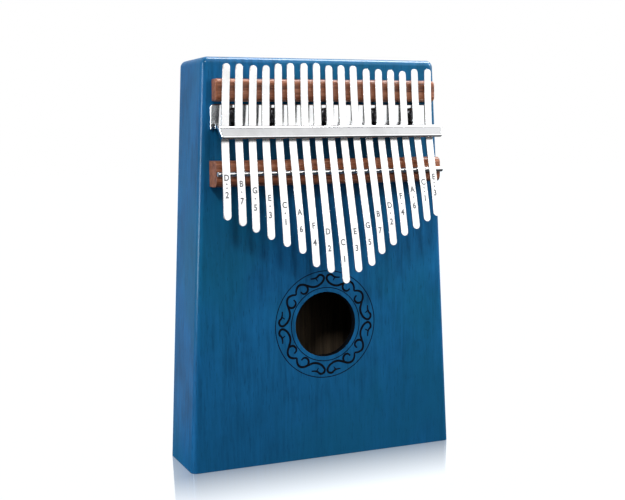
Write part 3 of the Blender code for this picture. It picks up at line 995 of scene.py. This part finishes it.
@dataclass
class ClampBracket:
    """Base flange, slotted web and press bar, all chrome plated."""

    flange_thickness: float = 1.6 * MM
    ear_drop: float = 2.5 * MM
    ear_width: float = 3.0 * MM
    corner: float = 1.2 * MM
    web_half: float = 53.4 * MM
    web_thickness: float = 1.6 * MM
    web_lean: float = 3.2 * MM
    slot_width: float = 4.7 * MM
    slot_heights: Point = (7.4 * MM, 10.1 * MM)
    bar_inner: float = 9.9 * MM
    bar_outer: Point = (14.9 * MM, 12.8 * MM)
    bar_span: Point = (149.0 * MM, 154.7 * MM)
    bar_rounds: Sequence[float] = (0.6 * MM, 1.4 * MM, 1.3 * MM, 0.6 * MM)
    bar_halves: Point = (53.4 * MM, 54.7 * MM)
    flange_ends: Point = (-54.6 * MM, 53.6 * MM)
    flange_low: float = 155.0 * MM
    flange_edge: float = 0.45 * MM
    web_foot: float = 0.2 * MM
    web_top: float = 12.0 * MM
    web_edge: float = 0.12 * MM
    bar_edge: float = 1.0 * MM

    def build(self) -> None:
        """Make the three stretches of the bracket."""
        flange = self.flange(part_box("clamp_bracket")[1].z)
        lay_piece("bracket_flange", flange, (FINISHES.chrome,), "root", ("clamp_bracket",))
        lay_piece("bracket_web", self.web(), (FINISHES.chrome,), "root")
        lay_piece("press_bar", self.press_bar(), (FINISHES.chrome,), "root")

    def flange(self, top: float) -> Shape:
        """The plate on the board, with an ear below each lower corner.

        Args:
            top: station of its upper edge.

        Returns:
            The closed plate.
        """
        left, right = self.flange_ends
        shape = bmesh.new()
        verts = bmesh.ops.create_grid(shape, x_segments=3, y_segments=1, size=1.0)["verts"]
        columns = (left, left + self.ear_width, right - self.ear_width, right)
        for vert in verts:
            column = round((vert.co.x + 1.0) * 1.5)
            drop = self.ear_drop if column in (0, 3) else 0.0
            station = top if vert.co.y > 0 else self.flange_low - drop
            vert.co = Vector((columns[column], forward(0.0), station))
        for vert in [v for v in verts if len(v.link_edges) == 2]:
            soften(shape, [vert], self.corner, 5, "VERTICES")
        outer = push(shape, shape.faces[:], (0.0, -self.flange_thickness, 0.0))
        rim = {e for face in outer for e in face.edges if is_sharp(e)}
        soften(shape, rim, self.flange_edge)
        return shape

    def web(self) -> Shape:
        """The comb between the tines that carries the press bar.

        Returns:
            The closed comb.
        """
        cuts = [-self.web_half]
        tines = Tines()
        for number in range(1, len(tines.notes) + 1):
            place = TineRun(tines, number).across
            cuts += [place - self.slot_width / 2, place + self.slot_width / 2]
        cuts.append(self.web_half)
        heights = (self.web_foot, *self.slot_heights, self.web_top)
        shape = bmesh.new()
        verts = bmesh.ops.create_grid(shape, x_segments=len(cuts) - 1, y_segments=3, size=1.0)["verts"]
        for vert in verts:
            column = round((vert.co.x + 1.0) / 2 * (len(cuts) - 1))
            row = round((vert.co.y + 1.0) * 1.5)
            rise = heights[row] / heights[-1]
            vert.co = Vector((cuts[column], forward(heights[row]), self.flange_low - self.web_lean * rise))
        openings = [f for f in shape.faces if self.is_slot(f, cuts)]
        bmesh.ops.delete(shape, geom=openings, context="FACES")
        push(shape, shape.faces[:], (0.0, 0.0, self.web_thickness))
        soften(shape, filter(is_sharp, shape.edges), self.web_edge, 2)
        return shape

    def is_slot(self, face: Face, cuts: Sequence[float]) -> bool:
        """Whether a cell of the comb is a tine's slot.

        Args:
            face: the cell.
            cuts: X of the comb's columns.

        Returns:
            True where a tine passes.
        """
        middle = face.calc_center_median()
        height = BOARD_FACE - middle.y
        column = sum(1 for value in cuts if value < middle.x) - 1
        return self.slot_heights[0] < height < self.slot_heights[1] and column % 2 == 1

    def press_bar(self) -> Shape:
        """The bar across all the tines, its ends drawn in towards the lower edge.

        Returns:
            The closed bar.
        """
        low, high = self.bar_span
        heights = (self.bar_inner, *self.bar_outer, self.bar_inner)
        corners = list(zip(heights, (low, low, high, high), self.bar_rounds))
        shape = prism(corners, (-1.0, 1.0), 8)
        for vert in shape.verts:
            share = (vert.co.z - low) / (high - low)
            vert.co.x *= self.bar_halves[0] + (self.bar_halves[1] - self.bar_halves[0]) * share
        far = 0.9 * self.bar_halves[0]
        ends = [e for e in shape.edges if is_sharp(e, 50.0) and abs(e.verts[0].co.x) > far]
        soften(shape, ends, self.bar_edge, 5)
        return shape


@dataclass
class FlangeScrews:
    """Pan-head cross-recess screws in the flange."""

    recess_width: float = 0.85 * MM
    recess_length: float = 3.6 * MM
    recess_depth: float = 1.1 * MM
    recess_taper: float = 0.55
    shank_radius: float = 1.4 * MM
    seat: float = 1.6 * MM
    reach: float = 2.0 * MM
    turn_step: float = 0.7
    numbers: Sequence[int] = (1, 2, 3, 4, 5)

    def build(self) -> None:
        """Make every screw."""
        for number in self.numbers:
            low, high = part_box(f"flange_screw_{number}")
            self.build_one(number, low, high)

    def build_one(self, number: int, low: Vector, high: Vector) -> None:
        """Turn one head and shank, then sink its recess.

        Args:
            number: the screw's number.
            low: its lowest corner.
            high: its highest corner.
        """
        radius = (high.x - low.x) / 2
        top = BOARD_FACE - low.y
        centre = Vector(((low.x + high.x) / 2, 0.0, (low.z + high.z) / 2))
        turn = number * self.turn_step
        profile = ((0.0, top), (0.45 * radius, top), (0.78 * radius, top - 0.3 * MM),
                   (0.94 * radius, top - 0.75 * MM), (radius, top - 1.3 * MM), (radius, self.seat),
                   (self.shank_radius, self.seat), (self.shank_radius, -self.reach), (0.0, -self.reach))
        shape = bmesh.new()
        verts = [shape.verts.new((across, forward(height), 0.0)) for across, height in profile]
        edges = [shape.edges.new(pair) for pair in zip(verts, verts[1:])]
        bmesh.ops.spin(shape, geom=verts + edges, cent=(0.0, 0.0, 0.0), axis=(0.0, 1.0, 0.0),
                       angle=2 * math.pi, steps=40, use_merge=True)
        bmesh.ops.remove_doubles(shape, verts=shape.verts, dist=0.005 * MM)
        bmesh.ops.recalc_face_normals(shape, faces=shape.faces)
        bmesh.ops.rotate(shape, verts=shape.verts, cent=(0.0, 0.0, 0.0),
                         matrix=Matrix.Rotation(turn, 3, "Y"))
        bmesh.ops.translate(shape, verts=shape.verts, vec=centre)
        screw = lay_piece(f"flange_screw_{number}_head", shape, (FINISHES.screw,), "root",
                          (f"flange_screw_{number}",), 30.0)
        for angle in (turn, turn + math.pi / 2):
            self.sink(screw, centre + Vector((0.0, forward(top), 0.0)), angle)

    def sink(self, screw: Piece, point: Vector, angle: float) -> None:
        """Cut one arm of the cross recess and keep the result as the screw's mesh.

        Args:
            screw: the screw.
            point: middle of its head's top.
            angle: turn of the arm.
        """
        shape = bmesh.new()
        bmesh.ops.create_cube(shape, size=1.0)
        bmesh.ops.scale(shape, verts=shape.verts,
                        vec=(self.recess_length, 2 * self.recess_depth, self.recess_width))
        for vert in shape.verts:
            if vert.co.y > 0:
                vert.co.x *= self.recess_taper
        cutter = shell("recess", shape, ())
        cutter.data.transform(Matrix.Translation(point) @ Matrix.Rotation(angle, 4, "Y"))
        carve = screw.modifiers.new("recess", "BOOLEAN")
        carve.object = cutter
        carve.solver = "EXACT"
        bpy.context.view_layer.update()
        cut_mesh = bpy.data.meshes.new_from_object(screw.evaluated_get(bpy.context.evaluated_depsgraph_get()))
        screw.modifiers.remove(carve)
        screw.data = cut_mesh
        bpy.data.objects.remove(cutter)


@dataclass(frozen=True)
class Note:
    """A tine's marks: its letter, its figure and the number of octave dots between them."""

    letter: str
    figure: str
    dots: int = 0


@dataclass
class Tines:
    """Seventeen spring-steel strips, each bending as one from the saddle to its tip."""

    notes: Sequence[Note] = (
        Note("D", "2", 2), Note("B", "7", 1), Note("G", "5", 1), Note("E", "3", 1), Note("C", "1", 1),
        Note("A", "6"), Note("F", "4"), Note("D", "2"), Note("C", "1"), Note("E", "3"), Note("G", "5"),
        Note("B", "7"), Note("D", "2", 1), Note("F", "4", 1), Note("A", "6", 1), Note("C", "1", 2),
        Note("E", "3", 2))
    rest_station: float = 168.0 * MM
    rest_height: float = 7.8 * MM
    clamp_station: float = 150.5 * MM
    clamp_height: float = 8.9 * MM
    bend_station: float = 146.0 * MM
    bend_height: float = 9.6 * MM
    tip_run: float = 13.0 * MM
    tip_slope: float = 0.17
    width: float = 3.4 * MM
    thickness: float = 0.9 * MM
    edge: float = 0.22 * MM
    across_steps: int = 6
    along_step: float = 1.0 * MM
    letter_height: float = 2.8 * MM
    letter_place: float = 17.0 * MM
    figure_place: float = 9.5 * MM
    dot_radius: float = 0.34 * MM
    mark_depth: float = 0.05 * MM
    mark_weight: float = 0.09 * MM
    letter_squeeze: float = 0.85
    capital_share: float = 0.73
    dot_pitch: float = 1.7 * MM
    bend_share: float = 0.6
    rear_drop: float = 0.3 / 14.0

    def build(self) -> None:
        """Make every tine and its marks."""
        for number, note in enumerate(self.notes, start=1):
            run = TineRun(self, number)
            self.build_strip(number, run)
            self.build_marks(number, note, run)

    def build_strip(self, number: int, run: "TineRun") -> None:
        """One steel strip with rounded ends and eased edges.

        Args:
            number: the tine's number.
            run: its middle line.
        """
        length = run.length
        rows = self.row_places(length, run.half)
        shape = bmesh.new()
        verts = bmesh.ops.create_grid(shape, x_segments=self.across_steps, y_segments=len(rows) - 1,
                                      size=1.0)["verts"]
        for vert in verts:
            along = rows[round((vert.co.y + 1.0) / 2 * (len(rows) - 1))]
            near_end = min(along, length - along, run.half)
            half = math.sqrt(max(run.half ** 2 - (run.half - near_end) ** 2, 0.0))
            vert.co = run.point(vert.co.x * half, along, self.thickness / 2)
        bmesh.ops.remove_doubles(shape, verts=shape.verts, dist=0.005 * MM)
        bmesh.ops.recalc_face_normals(shape, faces=shape.faces)
        if sum(face.normal.y for face in shape.faces) > 0:
            bmesh.ops.reverse_faces(shape, faces=shape.faces)
        bmesh.ops.solidify(shape, geom=shape.faces[:], thickness=self.thickness)
        bmesh.ops.recalc_face_normals(shape, faces=shape.faces)
        soften(shape, [e for e in shape.edges if is_sharp(e, 60.0)], self.edge)
        strip = lay_piece(f"tine_{number:02d}", shape, (FINISHES.steel,), "",
                          (f"tine_{number:02d}_shank", f"tine_{number:02d}_blade"), 50.0)
        self.bend(strip, number, run)

    def row_places(self, length: float, half: float) -> list[float]:
        """Distances along the strip of its rows of points, closer round the ends.

        Args:
            length: the strip's length.
            half: half its width.

        Returns:
            The distances from its rear end.
        """
        arc = [half * (1.0 - math.cos(math.pi / 2 * step / 8)) for step in range(9)]
        count = max(2, round((length - 2 * half) / self.along_step))
        middle = [half + (length - 2 * half) * step / count for step in range(1, count)]
        return arc + middle + [length - place for place in reversed(arc)]

    def build_marks(self, number: int, note: Note, run: "TineRun") -> None:
        """The stamped letter, dots and figure of one tine.

        Args:
            number: the tine's number.
            note: its marks.
            run: its middle line.
        """
        shape = bmesh.new()
        self.stamp_text(shape, note.letter, self.letter_place, run)
        self.stamp_text(shape, note.figure, self.figure_place, run)
        middle = (self.letter_place + self.figure_place) / 2 + self.letter_height / 2
        for index in range(note.dots):
            offset = (index - (note.dots - 1) / 2) * self.dot_pitch
            self.stamp_dot(shape, middle + offset, run)
        bmesh.ops.recalc_face_normals(shape, faces=shape.faces)
        marks = lay_piece(f"note_marks_{number:02d}", shape, (FINISHES.mark,), "")
        self.bend(marks, number, run)

    def stamp_text(self, shape: Shape, text: str, place: float, run: "TineRun") -> None:
        """Lay one character on the strip, its foot at a distance from the tip.

        Args:
            shape: the mesh that takes it.
            text: the character.
            place: the distance.
            run: the tine's middle line.
        """
        font = bpy.data.curves.new("mark", "FONT")
        font.body = text
        font.size = self.letter_height / self.capital_share
        font.align_x = "CENTER"
        font.extrude = self.mark_depth
        font.offset = self.mark_weight
        font.resolution_u = 3
        mesh = as_mesh("mark", font)
        self.stamp(mesh.vertices, place, run, self.letter_squeeze)
        merge_in(shape, mesh)

    def stamp(self, verts: Iterable[Union[Vert, bpy.types.MeshVertex]], place: float, run: "TineRun",
              squeeze: float = 1.0) -> None:
        """Carry flat points onto the strip's outer face.

        Args:
            verts: points drawn on the ground plane.
            place: distance of the drawing's origin from the tip.
            run: the tine's middle line.
            squeeze: share of its width that the drawing keeps.
        """
        for vert in verts:
            vert.co = run.point(vert.co.x * squeeze, run.length - place - vert.co.y,
                                self.thickness / 2 + vert.co.z)

    def stamp_dot(self, shape: Shape, place: float, run: "TineRun") -> None:
        """Lay one octave dot on the strip.

        Args:
            shape: the mesh that takes it.
            place: its distance from the tip.
            run: the tine's middle line.
        """
        verts = bmesh.ops.create_cone(shape, cap_ends=True, segments=16, radius1=self.dot_radius,
                                      radius2=self.dot_radius, depth=2 * self.mark_depth)["verts"]
        self.stamp(verts, place, run)

    def bend(self, piece: Piece, number: int, run: "TineRun") -> None:
        """Bake a piece's placement into its mesh."""
        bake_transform(piece)


class TineRun:
    """The middle line of one tine, from its rear end to its tip."""

    def __init__(self, tines: Tines, number: int) -> None:
        """Read a tine's place from the frame and draw its line.

        Args:
            tines: the sizes that all tines share.
            number: the tine's number.
        """
        shank_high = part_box(f"tine_{number:02d}_shank")[1]
        blade_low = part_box(f"tine_{number:02d}_blade")[0]
        joints = {joint["name"]: joint for joint in frame["joints"]}
        along = joints[f"tine_{number:02d}_tuning"]["axis"]
        self.lean = along[0] / along[2]
        self.hinge = Vector(joints[f"tine_{number:02d}_pluck"]["pos_m"])
        self.clamp = tines.clamp_station
        self.across = self.hinge.x + self.lean * (self.clamp - self.hinge.z)
        self.half = tines.width / 2
        hinge_height = BOARD_FACE - self.hinge.y
        slope = (hinge_height - tines.bend_height) / (tines.bend_station - self.hinge.z)
        turn = blade_low.z + tines.tip_run
        turn_height = hinge_height + (self.hinge.z - turn) * slope
        rear = shank_high.z
        rear_height = tines.rest_height - tines.rear_drop * (rear - tines.rest_station)
        knots = [(rear_height, rear), (tines.rest_height, tines.rest_station),
                 (tines.clamp_height, tines.clamp_station), (tines.bend_height, tines.bend_station),
                 (turn_height, turn), (turn_height + tines.tip_run * tines.tip_slope, blade_low.z)]
        self.line = self.eased([Vector(knot) for knot in knots])
        self.steps = [0.0]
        for before, after in zip(self.line, self.line[1:]):
            self.steps.append(self.steps[-1] + (after - before).length)
        self.length = self.steps[-1]
        self.tip = self.point(0.0, self.length, 0.0)

    @staticmethod
    def eased(knots: Sequence[Vector], step: float = 0.5 * MM, passes: int = 40) -> list[Vector]:
        """Sample a broken line evenly and ease its bends, with its ends held.

        Args:
            knots: corners of the line.
            step: distance between samples.
            passes: rounds of easing.

        Returns:
            The eased points.
        """
        points = []
        for before, after in zip(knots, knots[1:]):
            count = max(1, round((after - before).length / step))
            points += [before.lerp(after, index / count) for index in range(count)]
        points.append(knots[-1])
        for _ in range(passes):
            inner = [(a + 2 * b + c) / 4 for a, b, c in zip(points, points[1:], points[2:])]
            points = [points[0], *inner, points[-1]]
        return points

    def point(self, across: float, along: float, out: float) -> Vector:
        """A point of the strip.

        Args:
            across: distance from the middle, to the right.
            along: distance from the rear end.
            out: distance out from the middle line, away from the board.

        Returns:
            The point in the object's frame.
        """
        along = min(max(along, 0.0), self.length)
        last = len(self.steps) - 1
        index = next(i for i in range(1, last + 1) if self.steps[i] >= along or i == last)
        before, after = self.line[index - 1], self.line[index]
        share = (along - self.steps[index - 1]) / (self.steps[index] - self.steps[index - 1])
        way = (after - before).normalized()
        middle = before.lerp(after, share)
        height, station = middle.x - way.y * out, middle.y + way.x * out
        middle_x = self.across + self.lean * (station - self.clamp)
        return Vector((middle_x + across, forward(height), station))


@dataclass(frozen=True)
class Softbox:
    """One light: where it hangs, the point that it faces, its size, watts and colour."""

    name: str
    place: Sequence[float]
    target: Sequence[float]
    size: Point
    power: float
    tint: Colour = (1.0, 1.0, 1.0)

    def hang(self) -> None:
        """Add the light to the scene."""
        light = bpy.data.lights.new(self.name, "AREA")
        light.color = self.tint
        light.shape = "RECTANGLE"
        light.size, light.size_y = self.size
        light.energy = self.power
        lamp = bpy.data.objects.new(self.name, light)
        lamp.location = self.place
        lamp.rotation_euler = (Vector(self.target) - Vector(self.place)).to_track_quat("-Z", "Y").to_euler()
        bpy.context.scene.collection.objects.link(lamp)


def grey(level: float, blue: float = 0.0) -> Colour:
    """A grey, a little bluer if asked."""
    return (level, level, level + blue)


@dataclass
class Studio:
    """Floor, lights and camera."""

    camera_place: Vector = field(default_factory=lambda: Vector((-200.9, -472.9, 149.6)) * MM)
    yaw: float = math.radians(23.14)
    pitch: float = math.radians(-5.95)
    roll: float = math.radians(-0.62)
    lens: float = 62.47
    floor_size: float = 8.0
    floor_gap: float = 0.05 * MM
    front_sky: Stops = ((0.0, grey(0.25)), (0.35, grey(0.50)), (0.57, grey(0.97)), (0.75, grey(0.40, 0.01)),
                        (1.0, grey(0.28, 0.01)))
    back_sky: Stops = ((0.0, grey(0.40)), (0.35, grey(0.50)), (0.7, grey(0.45)), (1.0, grey(0.35, 0.01)))
    left_shade: float = 0.20
    softboxes: Sequence[Softbox] = (
        Softbox("front_softbox", (0.48, -0.90, 0.36), (0.0, 0.0, 0.14), (0.66, 0.62), 1.22),
        Softbox("right_softbox", (0.90, -0.42, 0.55), (0.0, 0.0, 0.13), (0.35, 0.60), 7.0),
        Softbox("left_softbox", (-0.95, -0.16, 0.14), (0.0, 0.0, 0.04), (0.35, 0.40), 6.7, (0.76, 0.90, 1.0)),
        Softbox("left_fill", (-0.47, -0.75, 0.72), (0.0, 0.0, 0.14), (0.13, 0.13), 3.8),
        Softbox("top_softbox", (0.26, 0.03, 0.75), (0.0, 0.0, 0.18), (0.22, 0.62), 6.0))

    def build(self) -> None:
        """Set up the whole studio."""
        self.lay_floor()
        self.set_world()
        for softbox in self.softboxes:
            softbox.hang()
        self.place_camera()

    def lay_floor(self) -> None:
        """A wide pale floor under the foot."""
        shape = bmesh.new()
        bmesh.ops.create_grid(shape, x_segments=8, y_segments=8, size=self.floor_size / 2)
        bmesh.ops.translate(shape, verts=shape.verts, vec=(0.0, 0.0, -self.floor_gap))
        shell("floor", shape, (FINISHES.floor,))

    def set_world(self) -> None:
        """A white backdrop, with a room round the object that is dimmer in front and overhead."""
        world = bpy.data.worlds.new("white_room")
        world.use_nodes = True
        bpy.context.scene.world = world
        graph = Graph(world.node_tree)
        across, depth, rise = graph.split(graph.read("TexCoord", "Generated"))
        shaded = graph.remap(across, -0.35, 0.15, 1.0 - self.left_shade, 0.0)
        ahead = graph.mix(shaded, graph.ramp(rise, self.front_sky), grey(0.0))
        behind = graph.mix(graph.remap(across, -0.15, 0.05), graph.ramp(rise, self.back_sky), grey(1.0))
        room = graph.read("Background", 0, None, {
            "Color": graph.mix(graph.remap(depth, -0.1, 0.4), ahead, behind)})
        backdrop = graph.read("Background", 0, None, {"Color": (1.0, 1.0, 1.0, 1.0)})
        seen = graph.read("LightPath", "Is Camera Ray")
        graph.surface(graph.read("MixShader", "Shader", None, {0: seen, 1: room, 2: backdrop}))
        bpy.context.scene.view_settings.view_transform = "Standard"

    def place_camera(self) -> None:
        """Stand the camera to the left of the front, level with the press bar."""
        ahead = Vector((math.sin(self.yaw) * math.cos(self.pitch), math.cos(self.yaw) * math.cos(self.pitch),
                        math.sin(self.pitch)))
        right = Vector((math.cos(self.yaw), -math.sin(self.yaw), 0.0))
        up = right.cross(ahead)
        tilt = Matrix.Rotation(self.roll, 3, -ahead)
        right, up = tilt @ right, tilt @ up
        camera = bpy.data.cameras.new("camera")
        camera.lens = self.lens
        camera.sensor_width = 36.0
        camera.clip_start, camera.clip_end = 0.01, 50.0
        holder = bpy.data.objects.new("camera", camera)
        basis = Matrix((right, up, -ahead)).transposed()
        holder.matrix_world = Matrix.Translation(self.camera_place) @ basis.to_4x4()
        bpy.context.scene.collection.objects.link(holder)
        bpy.context.scene.camera = holder


def main() -> None:
    """Build the object piece by piece, then the studio round it."""
    logging.basicConfig(level=logging.INFO, format="%(message)s")
    box = SoundBox()
    builds = (("sound box", box), ("rosette", Rosette(box.hole_centre)), ("wooden bars", WoodenBars()),
              ("clamp bracket", ClampBracket()), ("flange screws", FlangeScrews()), ("tines", Tines()))
    for name, part in builds:
        part.build()
        LOG.info("built the %s", name)
    box.dress()
    Studio().build()


if __name__ == "__main__":
    main()
